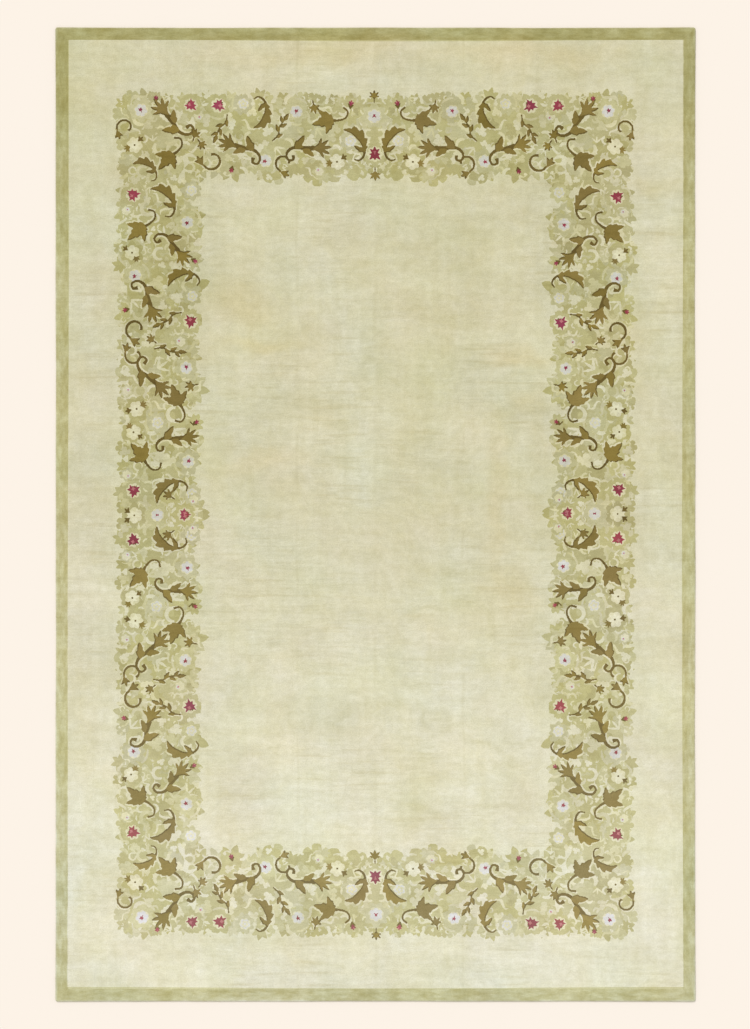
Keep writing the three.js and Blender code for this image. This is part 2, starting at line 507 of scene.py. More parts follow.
PANELS = {
    "A": (
        ("blossom", 0.07, 0.125, 0.031, 0.3), ("plume", 0.075, -0.105, 0.166, 1.2),
        ("scroll", 0.19, 0.055, 0.207, -0.7), ("aster", 0.3, -0.15, 0.034, 2.6),
        ("curl", 0.335, 0.125, 0.107, 0.5), ("twig", 0.29, -0.04, 0.149, 0.9),
        ("ghost", 0.175, -0.16, 0.026, 0.9), ("bud", 0.235, 0.16, 0.024, 1.3),
        ("bell", 0.4, -0.1, 0.022, 2.0), ("sprig", 0.4, 0.03, 0.052, 2.2),
    ),
    "B": (
        ("star", 0.09, -0.125, 0.036, 0.4), ("spray", 0.115, 0.085, 0.182, -0.3),
        ("blossom", 0.29, 0.125, 0.03, 0.9), ("scroll", 0.235, -0.055, 0.207, 2.7),
        ("curl", 0.355, -0.135, 0.095, -1.2), ("bud", 0.02, 0.15, 0.026, 1.8),
        ("sprig", 0.205, 0.17, 0.057, -1.8), ("twig", 0.375, 0.04, 0.149, 1.9),
        ("bell", 0.18, -0.175, 0.02, 1.0), ("ghost", 0.02, -0.02, 0.028, 0.5),
    ),
    "C": (
        ("aster", 0.075, 0.135, 0.034, 0.6), ("plume", 0.085, -0.03, 0.178, 2.3),
        ("blossom", 0.215, -0.135, 0.031, 0), ("spray", 0.235, 0.085, 0.182, 0.8),
        ("star", 0.365, 0.14, 0.034, 0), ("scroll", 0.335, -0.075, 0.195, -1.1),
        ("ghost", 0.055, -0.155, 0.027, 2.5), ("bell", 0.155, 0.17, 0.02, 4.0),
        ("bud", 0.4, -0.16, 0.024, -1.0),
    ),
    "K": (
        ("blossom", 0.31, 0.125, 0.032, 0.2), ("scroll", 0.165, 0.075, 0.22, 0.5),
        ("star", 0.345, -0.05, 0.036, 0.2), ("spray", 0.16, -0.1, 0.182, -0.9),
        ("aster", 0.06, 0.15, 0.032, 0), ("curl", 0.39, 0.04, 0.09, -0.4),
        ("sprig", 0.05, -0.02, 0.057, 1.9), ("plume", 0.285, -0.155, 0.143, 0.4),
        ("bud", 0.235, 0.17, 0.024, 1.6),
    ),
    "S": (
        ("blossom", 0, 0.105, 0.034, 1.57), ("plume", 0.082, -0.015, 0.178, 0.9),
        ("aster", 0, -0.085, 0.036, 1.57), ("sprig", 0, -0.165, 0.057, -1.57),
        ("sprig", 0, 0.185, 0.052, 1.57),
    ),
    "L": (
        ("star", 0, 0.13, 0.036, 0), ("blossom", 0, 0.015, 0.03, 0),
        ("aster", 0, -0.12, 0.032, 3.14), ("bell", -0.075, -0.165, 0.02, 0.3),
        ("sprig", -0.085, -0.06, 0.057, 2.2),
    ),
}
PANEL_LENGTH = 0.42
# Panels in their order along the frame: where each starts, and whether its sides or its ends are swapped
RUN = (("S", 0.0, 1, False), ("B", 0.1, 1, False), ("A", 0.48, -1, False),
       ("K", BAND_X - BAND_HALF, 1, False), ("C", 1.3, 1, False), ("A", 1.71, 1, False),
       ("B", 2.11, -1, True), ("C", 2.5, 1, True), ("L", PATH_LENGTH, 1, False))
CORNER_PANEL = "K"
GARLAND_SEED = 7
# The signs of x and y in each quarter of the rug, anticlockwise
QUARTERS = ((1, 1), (-1, 1), (-1, -1), (1, -1))


def knot_motifs(chart, motifs, draw):
    """Draws the motifs of every panel that are of the given kinds."""
    for panel, start, flip, reverse in RUN:
        for kind, u, v, size, turn in PANELS[panel]:
            if kind not in motifs:
                continue
            if reverse:
                u, turn = PANEL_LENGTH - u, math.pi - turn
            if panel == CORNER_PANEL:
                x, y, way = start + u, BAND_Y + v, 0.0
            else:
                x, y, way = along_band(start + u, v * flip)
            draw(chart, Spot(x, y, size, way + turn * flip, flip), *motifs[kind])


def draw_garland():
    """The chart of one quarter of the floral frame."""
    chart = Chart()
    rng = random.Random(GARLAND_SEED)
    knot_mass(chart)
    knot_edge_leaves(chart, rng)
    knot_green_patches(chart, rng)
    knot_marks(chart, rng)
    knot_motifs(chart, FLOWERS, knot_flower)
    knot_motifs(chart, SCROLLS, knot_brown)
    return chart


# The drawing's outlines, traced between cells of different dyes

LINE_TOLERANCE = 0.0011
# The wander of hand knotting across and along: depth, radians a metre across and along, and start
WANDER_ACROSS = ((0.004, 0.0, 1.9, 0.6), (0.0025, 1.1, 5.3, 0.0))
WANDER_ALONG = ((0.005, 1.3, 2.0, 0.4), (0.003, 4.1, 0.0, -1.2))


def boundary_chains(dyes):
    """Lines of cell corners between cells of different dyes, each with the dye on its left and right."""
    ahead = {}

    def add(a, b, left, right):
        ahead.setdefault(a, []).append((b, left, right))
        ahead.setdefault(b, []).append((a, right, left))

    for i, j in np.argwhere(dyes[1:] != dyes[:-1]):
        add((i + 1, j), (i + 1, j + 1), int(dyes[i, j]), int(dyes[i + 1, j]))
    for i, j in np.argwhere(dyes[:, 1:] != dyes[:, :-1]):
        add((i, j + 1), (i + 1, j + 1), int(dyes[i, j + 1]), int(dyes[i, j]))
    walked = set()
    chains = []

    def walk(start, step):
        """Follows a line from start through step to the next end or junction, or back to start."""
        here, left, right = step
        line = [start, here]
        walked.update(((start, here), (here, start)))
        while here != start and len(ahead[here]) == 2:
            onward = [s for s in ahead[here] if s[0] != line[-2]]
            following = onward[0][0] if onward else line[-2]
            walked.update(((here, following), (following, here)))
            line.append(following)
            here = following
        chains.append((line, left, right))

    for corner in sorted(ahead, key=lambda c: (len(ahead[c]) == 2, c)):
        for step in ahead[corner]:
            if (corner, step[0]) not in walked:
                walk(corner, step)
    return chains


def simplified(line, tolerance):
    """The fewest points of a line that stay within a tolerance of it."""
    keep = np.zeros(len(line), bool)
    keep[[0, -1]] = True
    spans = [(0, len(line) - 1)]
    while spans:
        first, last = spans.pop()
        if last - first < 2:
            continue
        a, b = line[first], line[last]
        along = b - a
        length = math.hypot(*along)
        between = line[first + 1:last] - a
        if length < 1e-9:
            away = np.hypot(*between.T)
        else:
            away = np.abs(between[:, 0] * along[1] - between[:, 1] * along[0]) / length
        worst = int(away.argmax())
        if away[worst] > tolerance:
            middle = first + 1 + worst
            keep[middle] = True
            spans += [(first, middle), (middle, last)]
    return line[keep]


def drawn_lines(chart):
    """The drawing's lines on the quarter, in metres, with the corners between cells cut off."""
    lines = []
    for corners, left, right in boundary_chains(chart.dyes):
        at = np.array(corners, float) * CELL
        halfway = (at[1:] + at[:-1]) / 2
        closed = corners[0] == corners[-1]
        line = np.vstack((halfway, halfway[:1])) if closed else np.vstack((at[:1], halfway, at[-1:]))
        line = simplified(line, LINE_TOLERANCE)
        if len(line) > 3 or not closed:
            lines.append((line, left, right))
    return lines


def hand_drift(points):
    """The small wander of a drawing that is knotted by hand."""
    x, y = points[:, 0], points[:, 1]
    shifts = [sum(depth * np.sin(across * x + along * y + start) for depth, across, along, start in waves)
              for waves in (WANDER_ACROSS, WANDER_ALONG)]
    return points + np.column_stack(shifts)


# The rug's form, as in the part's source. Weaving by hand draws each side in by a few millimetres between
# its corners: each wave has its number along the side and its depth.

SIDE_DRIFT = {
    "left": ((1, 0.0012), (4, 0.0011), (7, 0.0009)),
    "right": ((2, 0.0022), (5, 0.0013), (9, 0.0008)),
    "near": ((1, 0.0009), (3, 0.0014), (8, 0.0007)),
    "far": ((2, 0.0019), (3, 0.0008), (6, 0.0009)),
}
# Broad swells of the pile: wavelengths across and along, and where each starts
PILE_SWELLS = ((2.65, 3.9, 0.7), (1.48, 2.12, 2.4), (0.91, 1.23, 4.1))
OUTLINE_STEP = 0.02
CORNER_STEPS = 3
ROUNDING_STEPS = 4
SURFACE_GRID = 0.08
UNDERSIDE_GRID = 0.4
# The edge band's inner line: points a side, each side's wave with its depth, radians and start, and a slant
BORDER_POINTS = 60
BORDER_WAVES = {
    "near": (0.0035, 6.3, 1.5),
    "far": (0.004, 6.3, 4.4),
    "left": (0.0015, 11, 0.0),
    "right": (0.005, 5.2, -0.7),
}
LEFT_SLANT = 0.011
INNER_WIDTH = RUG_WIDTH - 2 * BORDER_SIDE
INNER_LENGTH = RUG_LENGTH - BORDER_NEAR - BORDER_FAR


def drift(side, share):
    """How far a side is drawn in at a share of its length."""
    return sum(depth * np.sin(np.pi * waves * share) ** 2 for waves, depth in SIDE_DRIFT[side])


def pile_height(x, y):
    """The height of the pile's surface at a place in plan."""
    swell = sum(np.cos(TAU * x / across + turn) * np.cos(TAU * y / along - turn)
                for across, along, turn in PILE_SWELLS) / len(PILE_SWELLS)
    return RUG_THICKNESS - SWELL_DEPTH * (1 - swell) / 2


def rug_outline(inset):
    """Points round the rug, anticlockwise from above, moved in from its sides, with rounded corners."""
    across = HALF_WIDTH - CORNER_RADIUS
    along = HALF_LENGTH - CORNER_RADIUS
    x = np.linspace(-across, across, round(2 * across / OUTLINE_STEP))
    y = np.linspace(-along, along, round(2 * along / OUTLINE_STEP))
    share_x = (x / HALF_WIDTH + 1) / 2
    share_y = (y / HALF_LENGTH + 1) / 2
    near = np.column_stack((x, drift("near", share_x) + inset - HALF_LENGTH))
    right = np.column_stack((HALF_WIDTH - drift("right", share_y) - inset, y))
    far = np.column_stack((x, HALF_LENGTH - drift("far", share_x) - inset))[::-1]
    left = np.column_stack((drift("left", share_y) + inset - HALF_WIDTH, y))[::-1]
    sides = []
    for side, (cx, cy), start in ((near, (across, -along), 270), (right, (across, along), 0),
                                  (far, (-across, along), 90), (left, (-across, -along), 180)):
        angles = np.radians(start + np.linspace(0, 90, CORNER_STEPS + 2)[1:-1])
        radius = CORNER_RADIUS - inset
        corner = np.column_stack((cx + radius * np.cos(angles), cy + radius * np.sin(angles)))
        sides += [side, corner]
    return np.vstack(sides)


def border_line():
    """The inner edge of the olive band, anticlockwise, a little uneven along each side."""
    s = np.linspace(0, 1, BORDER_POINTS)
    wave = {side: depth * np.sin(pace * s + start) for side, (depth, pace, start) in BORDER_WAVES.items()}
    x = INNER_WIDTH * (s - 0.5)
    y = INNER_LENGTH * (s - 0.5)
    near = BORDER_NEAR - HALF_LENGTH + wave["near"]
    far = HALF_LENGTH - BORDER_FAR - wave["far"]
    left = BORDER_SIDE - HALF_WIDTH + LEFT_SLANT * (s - 0.5) + wave["left"]
    right = HALF_WIDTH - BORDER_SIDE - wave["right"]
    corners = ((left[0], near[0]), (right[0], near[-1]), (right[-1], far[-1]), (left[-1], far[0]))
    sides = (np.column_stack((x, near)), np.column_stack((right, y)),
             np.column_stack((x, far))[::-1], np.column_stack((left, y))[::-1])
    return np.vstack([part for corner, side in zip(corners, sides) for part in (corner, side[1:-1])])


# From the drawing's lines to the mesh

def new_object(name, data):
    """An object in the scene."""
    made = bpy.data.objects.new(name, data)
    bpy.context.collection.objects.link(made)
    return made


class Plan:
    """Points, lines and the dyes beside them, gathered for one triangulation."""

    def __init__(self):
        self.points = []
        self.edges = []
        self.beside = []

    def add_line(self, line, left, right, closed=False):
        first = len(self.points)
        count = len(line)
        self.points += [tuple(p) for p in line]
        for k in range(count if closed else count - 1):
            self.edges.append((first + k, first + (k + 1) % count))
            self.beside.append((left, right))

    def add_grid(self, spacing):
        """Points over the whole rug, a spacing apart."""
        x = np.arange(-HALF_WIDTH + spacing, HALF_WIDTH - spacing / 2, spacing)
        y = np.arange(-HALF_LENGTH + spacing, HALF_LENGTH - spacing / 2, spacing)
        self.points += [(a, b) for a in x for b in y]


def regions_of(points, faces, beside):
    """The region of each face between the drawn lines, and the dye that most of its lines name."""
    owner = {side: k for k, face in enumerate(faces) for side in zip(face, face[1:] + face[:1])}
    region_of = [None] * len(faces)
    region_dyes = []
    for start in range(len(faces)):
        if region_of[start] is not None:
            continue
        region = len(region_dyes)
        region_of[start] = region
        votes = {}
        ready = [start]
        while ready:
            face = faces[ready.pop()]
            for a, b in zip(face, face[1:] + face[:1]):
                if (a, b) in beside:
                    for dye in beside[(a, b)]:
                        votes[dye] = votes.get(dye, 0) + math.dist(points[a], points[b])
                elif (b, a) in owner and region_of[owner[(b, a)]] is None:
                    region_of[owner[(b, a)]] = region
                    ready.append(owner[(b, a)])
        region_dyes.append(max(sorted(votes), key=votes.get))
    return region_of, region_dyes


def triangulated(plan):
    """A plan's points, its triangles, their regions, the regions' dyes, and where its points went."""
    points, edges, faces, from_points, from_edges, _ = delaunay_2d_cdt(
        [Vector(p) for p in plan.points], plan.edges, [], 1, 1e-7, True)
    place = {source: k for k, sources in enumerate(from_points) for source in sources}
    points = np.array(points)
    beside = {}
    for (a, b), sources in zip(edges, from_edges):
        for source in sources:
            p, q = plan.edges[source]
            way = np.subtract(plan.points[q], plan.points[p])
            left, right = plan.beside[source]
            if np.dot(points[b] - points[a], way) < 0:
                left, right = right, left
            beside.setdefault((a, b), []).append(left)
            beside.setdefault((b, a), []).append(right)
    region_of, region_dyes = regions_of(points, faces, beside)
    kept = [k for k, region in enumerate(region_of) if region_dyes[region] != OUTSIDE]
    return points, [tuple(faces[k]) for k in kept], [region_of[k] for k in kept], region_dyes, place


class Cloth:
    """The points, faces and face colours of the rug's mesh."""

    def __init__(self):
        self.points = []
        self.faces = []
        self.tints = []

    def add_points(self, points):
        """Adds points and gives their numbers."""
        first = len(self.points)
        self.points += [tuple(p) for p in points]
        return list(range(first, len(self.points)))

    def add_faces(self, faces, tints):
        self.faces += faces
        self.tints += tints


def add_pile(cloth):
    """The drawn face of the pile. Gives the numbers of the points round it."""
    rim = rug_outline(PILE_ROUNDING)
    plan = Plan()
    plan.add_line(rim, BORDER, OUTSIDE, closed=True)
    plan.add_line(border_line(), GROUND, BORDER, closed=True)
    for line, left, right in drawn_lines(draw_garland()):
        for flip_x, flip_y in QUARTERS:
            sides = (left, right) if flip_x == flip_y else (right, left)
            plan.add_line(hand_drift(line * (flip_x, flip_y)), *sides)
    plan.add_grid(SURFACE_GRID)
    flat, faces, region_of, region_dyes, place = triangulated(plan)
    shades = random.Random(SHADE_SEED)
    tints = {region: tint(region_dyes[region], shades) for region in sorted(set(region_of))}
    cloth.add_points(np.column_stack((flat, pile_height(*flat.T))))
    cloth.add_faces(faces, [tints[region] for region in region_of])
    return [place[k] for k in range(len(rim))]


def add_side(cloth, upper):
    """The pile's rounded rim and the foundation's upright side, from the given points to the floor."""
    rings = []
    for step in reversed(range(ROUNDING_STEPS)):
        angle = math.pi / 2 * step / ROUNDING_STEPS
        ring = rug_outline(PILE_ROUNDING * (1 - math.cos(angle)))
        rise = (pile_height(*ring.T) - FOUNDATION) * math.sin(angle)
        rings.append(np.column_stack((ring, FOUNDATION + rise)))
    count = len(upper)
    rings.append(np.column_stack((rug_outline(0), np.zeros(count))))
    for ring in rings:
        lower = cloth.add_points(ring)
        faces = list(zip(lower, lower[1:] + lower[:1], upper[1:] + upper[:1], upper))
        cloth.add_faces(faces, [albedo(DYES[BORDER])] * count)
        upper = lower
    return upper


def add_underside(cloth, foot):
    """The flat underside, inside the given points."""
    plan = Plan()
    plan.add_line(rug_outline(0), BACK, OUTSIDE, closed=True)
    plan.add_grid(UNDERSIDE_GRID)
    flat, faces, _, _, place = triangulated(plan)
    own = {place[k]: number for k, number in enumerate(foot)}
    for k, (x, y) in enumerate(flat):
        if k not in own:
            own[k], = cloth.add_points([(x, y, 0.0)])
    cloth.add_faces([tuple(own[k] for k in reversed(face)) for face in faces],
                    [albedo(DYES[BACK])] * len(faces))


# Shares of the bake map's height: the pile's face, the underside, and where the underside starts
FACE_SHARE = 0.657
BACK_SHARE = 0.31
BACK_START = 0.68
SHARP_ANGLE = 50


def build_rug():
    """The rug as one closed mesh, with its dyes in a colour layer and a map to bake to."""
    cloth = Cloth()
    foot = add_side(cloth, add_pile(cloth))
    front_faces = len(cloth.faces)
    add_underside(cloth, foot)

    mesh = bpy.data.meshes.new("rug_cloth")
    mesh.from_pydata(cloth.points, [], cloth.faces)
    corner_counts = [len(face) for face in cloth.faces]
    rgba = np.column_stack((cloth.tints, np.ones(len(cloth.tints))))
    colour = mesh.color_attributes.new("dye", "FLOAT_COLOR", "CORNER")
    colour.data.foreach_set("color", np.repeat(rgba, corner_counts, axis=0).ravel())

    spots = np.array([cloth.points[corner] for face in cloth.faces for corner in face])
    is_back = np.repeat(np.arange(len(cloth.faces)) >= front_faces, corner_counts)
    u = spots[:, 1] / RUG_LENGTH + 0.5
    across = spots[:, 0] / RUG_WIDTH + 0.5
    v = np.where(is_back, BACK_START + BACK_SHARE * across, FACE_SHARE * across)
    bake = mesh.uv_layers.new(name="OFBake")
    bake.data.foreach_set("uv", np.column_stack((u, v)).ravel())

    mesh.validate()
    mesh.shade_smooth()
    mesh.set_sharp_from_angle(angle=math.radians(SHARP_ANGLE))
    mesh.materials.append(wool_material())
    return new_object("rug_cloth", mesh)


# Tones of the old wool, with painted shade and painted highlights of creases and wrinkles. A noise has its
# marks a metre across and along, detail and roughness. Gains are red, green and blue. A span is where
# something starts and where it is full.

PLAIN = (1.0, 1.0, 1.0)
# Paler and bluer towards the near end: a gain, then a blend towards a pale tone by a share
NEARWARD_SPAN = (-1.7, 0.1)
NEARWARD_GAIN = (1.18, 1.2, 1.35)
PALING_SPAN = (0.4, -2.0)
PALING_SHARE = 0.09
PALING_LOOK = (214, 206, 160)
WARP = {"Scale": 2.6, "Detail": 4.0}
WARP_REACH = (0.22, 0.22, 0.0)
# Noise, and the gains at either end of it
WEAR_LAYERS = (
    ((0.9, 1.2), 6.0, 0.92, (0.915, 0.908, 0.845), (1.085, 1.092, 1.155)),
    ((2.6, 2.9), 3.0, 0.6, (1.012, 1.004, 0.965), (0.988, 0.996, 1.035)),
)
ROW_LAYERS = (
    ((1.9, 13.0), 3.0, 0.7, (0.963, 0.958, 0.93), (1.037, 1.042, 1.07)),
    ((14.0, 1.8), 3.0, 0.7, (0.975, 0.972, 0.955), (1.025, 1.028, 1.045)),
)
TINGE_GAINS = ((1.011, 0.994, 1.0), (0.989, 1.006, 1.0))
# Place across and along, reach across and along, degrees turned, and the gain in the middle
PATCHES = (
    ((-0.7, 1.02), (0.26, 0.16), 0, (0.992, 0.95, 0.87)),
    ((-0.6, 0.86), (0.34, 0.05), 0, (0.99, 0.955, 0.86)),
    ((-0.52, 0.26), (0.42, 0.08), 0, (0.99, 0.955, 0.88)),
    ((0.72, 0.8), (0.22, 0.08), 0, (0.995, 0.935, 0.83)),
    ((0.79, 0.55), (0.18, 0.11), 0, (0.98, 0.94, 0.85)),
    ((0.6, 0.05), (0.08, 0.66), 0, (0.985, 0.95, 0.89)),
    ((0.7, -0.38), (0.24, 0.17), 0, (0.96, 0.93, 0.86)),
    ((0.02, 0.25), (0.14, 0.6), 0, (1.03, 1.035, 1.07)),
    ((-0.25, 0.8), (0.22, 0.3), 0, (1.02, 1.025, 1.05)),
    ((-0.12, -0.66), (0.26, 0.4), 0, (1.03, 1.03, 1.06)),
    ((0.4, -0.79), (0.18, 0.18), 0, (1.04, 1.035, 1.07)),
    ((0.18, -1.44), (0.2, 0.22), 0, (0.96, 0.96, 0.9)),
    ((-0.4, -1.45), (0.3, 0.3), 0, (1.03, 1.035, 1.06)),
    # The next eight thin turned lines: the darker are painted shade and the lighter painted highlight of
    # shallow wrinkles in the pile
    ((0.22, -0.48), (0.24, 0.024), -17, (0.93, 0.925, 0.88)),
    ((0.25, -0.55), (0.22, 0.06), -17, (1.035, 1.035, 1.05)),
    ((0.26, -0.99), (0.15, 0.03), -56, (0.93, 0.925, 0.87)),
    ((0.54, -1.14), (0.28, 0.028), -18, (0.93, 0.925, 0.87)),
    ((0.58, -1.21), (0.26, 0.06), -18, (1.04, 1.04, 1.06)),
    ((0.2, -1.48), (0.24, 0.03), -18, (0.93, 0.925, 0.87)),
    ((0.0, 0.71), (0.03, 0.18), 9, (0.945, 0.945, 0.92)),
    ((0.14, 0.6), (0.16, 0.022), 12, (0.94, 0.935, 0.91)),
    ((-1.5, 2.0), (0.2, 0.3), 0, (0.96, 0.95, 0.87)),
    ((-1.43, 0.0), (0.16, 0.5), 0, (0.94, 0.94, 0.95)),
    ((-1.56, -1.9), (0.13, 0.7), 0, (1.025, 1.04, 1.13)),
    ((-1.14, 1.4), (0.46, 1.05), 0, (0.94, 0.947, 0.915)),
    ((-1.08, -1.1), (0.3, 0.9), 0, (0.968, 0.957, 0.925)),
    ((-1.42, 1.1), (0.16, 0.5), 0, (1.01, 1.0, 1.05)),
    ((-1.38, -1.38), (0.14, 0.12), 0, (0.96, 0.965, 0.92)),
    ((1.42, 1.64), (0.24, 0.07), 0, (0.97, 0.935, 0.83)),
    ((1.38, 0.6), (0.2, 0.28), 0, (0.985, 0.965, 0.91)),
    ((1.46, 1.12), (0.18, 0.5), 0, (1.095, 1.095, 1.12)),
    ((1.45, 0.0), (0.16, 0.4), 0, (1.035, 1.04, 1.06)),
    ((1.44, -1.0), (0.16, 0.6), 0, (1.055, 1.06, 1.065)),
    ((1.58, -1.9), (0.12, 0.8), 0, (0.91, 0.93, 0.9)),
    ((1.4, -1.9), (0.14, 0.3), 0, (0.975, 0.99, 1.0)),
    ((1.5, -2.12), (0.1, 0.16), 0, (0.94, 0.945, 0.86)),
    ((-0.3, 2.32), (1.1, 0.13), 0, (0.99, 0.945, 0.86)),
    ((0.8, 2.3), (0.7, 0.12), 0, (0.99, 0.94, 0.88)),
    ((0.0, -2.33), (1.5, 0.16), 0, (0.956, 0.975, 0.99)),
)
ISLAND_SCALE = (1.3, 1.3)
ISLAND_SPAN = (0.42, 0.58)
# Marks, span and gain
STREAKS = (
    ((2.6, 36.0), (0.56, 0.78), (0.925, 0.908, 0.855)),
    ((9.0, 90.0), (0.35, 0.7), (0.955, 0.955, 0.94)),
)
BREAKS = ((1.5, 2.4), 3.0)
BREAK_SPAN = (0.4, 0.62)
# Painted shade in lines along the rug, in place of fold creases that its mesh does not have: place across,
# and width
CREASE_SHADE_LINES = ((-0.39, 0.012), (0.0, 0.016), (0.44, 0.012))
FOLD_SLACK = 0.15
CREASE_SHADE_GAIN = (0.95, 0.945, 0.92)
# Streaks in the edge band: marks a metre across and along it
BAND_STREAKS = ((46.0, 13.0), (17.0, 9.0))
BAND_STREAK_DETAIL = (3.0, 0.6)
BAND_STREAK_GAINS = ((0.905, 0.89, 0.81), (1.095, 1.11, 1.19))
BAND_STREAK_SPREAD = (-0.2, 0.2)
# Span and gain
BAND_INNER = ((0.02, 0.062), (0.965, 0.95, 0.9))
FAR_END = ((1.0, 2.435), (0.8, 0.79, 0.67))
NEAR_END = ((-1.1, -2.1), (0.9, 0.91, 0.89))
RIM_SPAN = (0.012, 0.004)
RIM_GAIN = (1.06, 1.08, 1.28)
TUFTS = ((24.0, 32.0), 2.0, 0.7)
TUFT_GAINS = ((0.96, 0.96, 0.955), (1.04, 1.04, 1.045))
GRAIN = ((170.0, 210.0), 2.0, 0.6)
GRAIN_GAINS = ((0.925, 0.925, 0.918), (1.075, 1.075, 1.082))
LAY = ((60.0, 90.0), 3.0)
LAY_BUMP = {"Strength": 0.35, "Distance": 0.004}
GRAIN_BUMP = {"Strength": 0.4, "Distance": 0.002}
WOOL_SURFACE = {"Roughness": 0.95, "Specular IOR Level": 0.15, "Sheen Weight": 0.08, "Sheen Roughness": 0.5}


class Nodes:
    """A material's nodes, added in the order in which they are linked."""

    def __init__(self, name, surface):
        self.material = bpy.data.materials.new(name)
        self.material.use_nodes = True
        self.tree = self.material.node_tree
        self.shader = self.tree.nodes["Principled BSDF"]
        for socket, value in surface.items():
            self.shader.inputs[socket].default_value = value

    def add(self, kind, inputs=(), **settings):
        node = self.tree.nodes.new(kind)
        for key, value in settings.items():
            setattr(node, key, value)
        for socket, value in dict(inputs).items():
            if isinstance(value, bpy.types.NodeSocket):
                self.tree.links.new(value, node.inputs[socket])
            else:
                node.inputs[socket].default_value = value
        return node

    def math(self, operation, a, b=0.0):
        return self.add("ShaderNodeMath", {0: a, 1: b}, operation=operation).outputs[0]

    def vector(self, operation, a, b):
        return self.add("ShaderNodeVectorMath", {0: a, 1: b}, operation=operation).outputs[0]

    def split(self, vector):
        """A vector's or colour's three parts."""
        return self.add("ShaderNodeSeparateXYZ", {0: vector}).outputs

    def noise(self, where, scale, detail=2.0, rough=0.5):
        """Flat noise with so many marks a metre across and along."""
        scaled = self.vector("MULTIPLY", where, (*scale, 0.0))
        return self.add("ShaderNodeTexNoise",
                        {"Vector": scaled, "Scale": 1.0, "Detail": detail, "Roughness": rough},
                        noise_dimensions="2D").outputs["Fac"]

    def gain(self, factor, low, high, spread=(0.3, 0.7)):
        """A colour gain from low to high as a factor goes from one end of its spread to the other."""
        start, full = spread
        ramp = self.add("ShaderNodeMapRange", {"Value": factor, "From Min": start, "From Max": full})
        return self.blend(ramp.outputs[0], low, high)

    def blend(self, share, low, high):
        """A colour that goes from low to high as its share goes from 0 to 1."""
        ends = {6: low, 7: high}
        for socket, colour in ends.items():
            if not isinstance(colour, bpy.types.NodeSocket):
                ends[socket] = (*colour, 1.0)
        return self.add("ShaderNodeMix", {0: share, **ends}, data_type="RGBA").outputs[2]

    def soft(self, value, start, full):
        """0 at the start, 1 where it is full, and smooth between the two."""
        ramp = self.add("ShaderNodeMapRange", {"Value": value, "From Min": start, "From Max": full},
                        interpolation_type="SMOOTHSTEP")
        return ramp.outputs[0]

    def link(self, output, socket):
        self.tree.links.new(output, self.shader.inputs[socket])


def wool_material():
    """Dyed wool: the drawing's dyes under the tones of age, painted shade and highlights of creases and
    wrinkles, and the pile's tufts and grain.
    """
    wool = Nodes("dyed_wool_pile", WOOL_SURFACE)
    where = wool.add("ShaderNodeTexCoord").outputs["Object"]
    colour = wool.add("ShaderNodeAttribute", attribute_name="dye").outputs["Color"]
    y = wool.split(where)[1]
    paling = wool.math("MULTIPLY", wool.soft(y, *PALING_SPAN), PALING_SHARE)
    colour = wool.blend(paling, colour, albedo(PALING_LOOK))
    grain = wool.noise(where, *GRAIN)
    pile_gains = (wool.gain(wool.noise(where, *TUFTS), *TUFT_GAINS), wool.gain(grain, *GRAIN_GAINS))
    for gain in (*wear_and_shade_gains(wool, where), *border_gains(wool, where), *pile_gains):
        colour = wool.vector("MULTIPLY", colour, gain)
    wool.link(colour, "Base Color")
    lay = wool.noise(where, *LAY)
    bump = wool.add("ShaderNodeBump", {"Height": lay, **LAY_BUMP})
    fine = wool.add("ShaderNodeBump", {"Height": grain, "Normal": bump.outputs[0], **GRAIN_BUMP})
    wool.link(fine.outputs[0], "Normal")
    return wool.material


def wear_and_shade_gains(wool, where):
    """The gains of paling towards the near end, wear, soil, and painted shade and highlights of creases and
    wrinkles, most of them bent a little by one noise.
    """
    x, y, _ = wool.split(where)
    yield wool.gain(y, NEARWARD_GAIN, PLAIN, NEARWARD_SPAN)
    warp = wool.add("ShaderNodeTexNoise", {"Vector": where, **WARP}, noise_dimensions="2D").outputs["Color"]
    shift = wool.vector("MULTIPLY", wool.vector("SUBTRACT", warp, (0.5, 0.5, 0.5)), WARP_REACH)
    bent = wool.vector("ADD", where, shift)
    for basis, layers in ((bent, WEAR_LAYERS), (where, ROW_LAYERS)):
        for scale, detail, rough, low, high in layers:
            yield wool.gain(wool.noise(basis, scale, detail, rough), low, high)
    yield wool.gain(wool.split(warp)[2], *TINGE_GAINS)
    # Patches of tone, and among them thin lines of painted shade and painted highlight of wrinkles
    for place, reach, turn, gain in PATCHES:
        ellipse = {"Vector": bent, "Location": (*place, 0.0), "Rotation": (0.0, 0.0, math.radians(turn)),
                   "Scale": (*reach, 1.0)}
        away = wool.add("ShaderNodeMapping", ellipse, vector_type="TEXTURE").outputs[0]
        distance = wool.add("ShaderNodeVectorMath", {0: away}, operation="LENGTH").outputs["Value"]
        yield wool.blend(wool.soft(distance, 1.0, 0.0), PLAIN, gain)
    islands = wool.soft(wool.noise(where, ISLAND_SCALE), *ISLAND_SPAN)
    for scale, span, gain in STREAKS:
        streaks = wool.soft(wool.noise(where, scale), *span)
        yield wool.blend(wool.math("MULTIPLY", islands, streaks), PLAIN, gain)
    # Painted shade of creases: dark lines along the rug, a little bent and broken here and there
    slack = wool.math("MULTIPLY", wool.math("SUBTRACT", wool.split(bent)[0], x), FOLD_SLACK)
    slack_x = wool.math("ADD", x, slack)
    broken = wool.soft(wool.noise(where, *BREAKS), *BREAK_SPAN)
    for fold, width in CREASE_SHADE_LINES:
        away = wool.math("ABSOLUTE", wool.math("SUBTRACT", slack_x, fold))
        yield wool.blend(wool.math("MULTIPLY", wool.soft(away, width, 0.0), broken), PLAIN, CREASE_SHADE_GAIN)


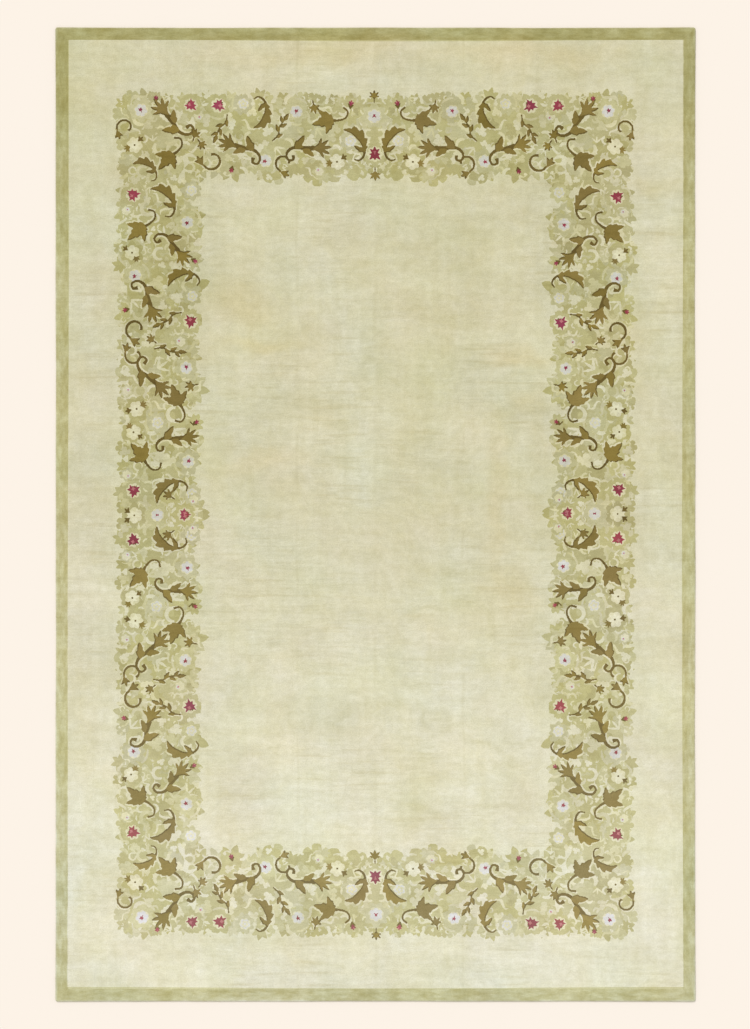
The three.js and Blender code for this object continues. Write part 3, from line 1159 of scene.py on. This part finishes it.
def border_gains(wool, where):
    """The gains of the edge band: streaks that run along each side, darker inwards, with a paler rim."""
    x, y, _ = wool.split(where)
    beside = wool.math("SUBTRACT", HALF_WIDTH, wool.math("ABSOLUTE", x))
    beyond = wool.math("SUBTRACT", HALF_LENGTH, wool.math("ABSOLUTE", y))
    depth = wool.math("MINIMUM", beside, beyond)
    on_end = wool.math("LESS_THAN", beyond, beside)
    on_side = wool.math("SUBTRACT", 1.0, on_end)
    in_band = wool.math("LESS_THAN", depth, BORDER_SIDE)
    for across, along in BAND_STREAKS:
        parts = [wool.math("MULTIPLY", wool.noise(where, marks, *BAND_STREAK_DETAIL), here)
                 for marks, here in (((across, along), on_side), ((along, across), on_end))]
        streak = wool.math("SUBTRACT", wool.math("ADD", *parts), 0.5)
        yield wool.gain(wool.math("MULTIPLY", streak, in_band), *BAND_STREAK_GAINS, BAND_STREAK_SPREAD)
    for value, span, gain in ((depth, *BAND_INNER), (y, *FAR_END), (y, *NEAR_END)):
        yield wool.blend(wool.math("MULTIPLY", wool.soft(value, *span), in_band), PLAIN, gain)
    yield wool.blend(wool.soft(depth, *RIM_SPAN), PLAIN, RIM_GAIN)


# The pale floor, the soft light and the camera, straight above the rug

FLOOR_HALF = 30
FLOOR_DROP = 0.0005
FLOOR_LOOK = (253, 243, 231)
FLOOR_SURFACE = {"Roughness": 1.0, "Specular IOR Level": 0.0}
WORLD_COLOUR = (1.0, 1.0, 1.0)
LAMP_TILT = 42
LAMP_TURN = 205
LAMP_SPREAD = 25
LAMP_STRENGTH = LAMP_SHARE * math.pi / math.cos(math.radians(LAMP_TILT))
SENSOR_WIDTH = 36
CAMERA_HEIGHT = 12.0
CAMERA_OFFSET = -0.0025
PHOTO_HEIGHT = 1029
METRES_PER_PIXEL = 0.005


def build_floor():
    corners = [(x * FLOOR_HALF, y * FLOOR_HALF, 0) for x, y in ((-1, -1), (1, -1), (1, 1), (-1, 1))]
    mesh = bpy.data.meshes.new("floor")
    mesh.from_pydata(corners, [], [(0, 1, 2, 3)])
    floor = new_object("floor", mesh)
    floor.location.z = -FLOOR_DROP
    paint = Nodes("pale_floor", {"Base Color": (*albedo(FLOOR_LOOK), 1), **FLOOR_SURFACE})
    mesh.materials.append(paint.material)


def build_lights():
    world = bpy.data.worlds.new("studio")
    world.use_nodes = True
    background = world.node_tree.nodes["Background"]
    background.inputs["Color"].default_value = (*WORLD_COLOUR, 1)
    background.inputs["Strength"].default_value = WORLD_STRENGTH
    bpy.context.scene.world = world

    lamp = bpy.data.lights.new("window", "SUN")
    lamp.angle = math.radians(LAMP_SPREAD)
    lamp.energy = LAMP_STRENGTH
    window = new_object("window", lamp)
    window.rotation_euler = (math.radians(LAMP_TILT), 0, math.radians(LAMP_TURN))


def build_camera():
    """A camera at the rug's middle that sees the height of the photo's frame at the photo's scale."""
    data = bpy.data.cameras.new("camera")
    data.sensor_width = SENSOR_WIDTH
    data.lens = data.sensor_width * CAMERA_HEIGHT / (PHOTO_HEIGHT * METRES_PER_PIXEL)
    camera = new_object("camera", data)
    camera.location = (CAMERA_OFFSET, 0, CAMERA_HEIGHT)
    bpy.context.scene.camera = camera


bpy.context.scene.view_settings.view_transform = "Standard"
build_camera()
build_floor()
build_lights()
rug = build_rug()
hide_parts("rug")
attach(rug, "root")
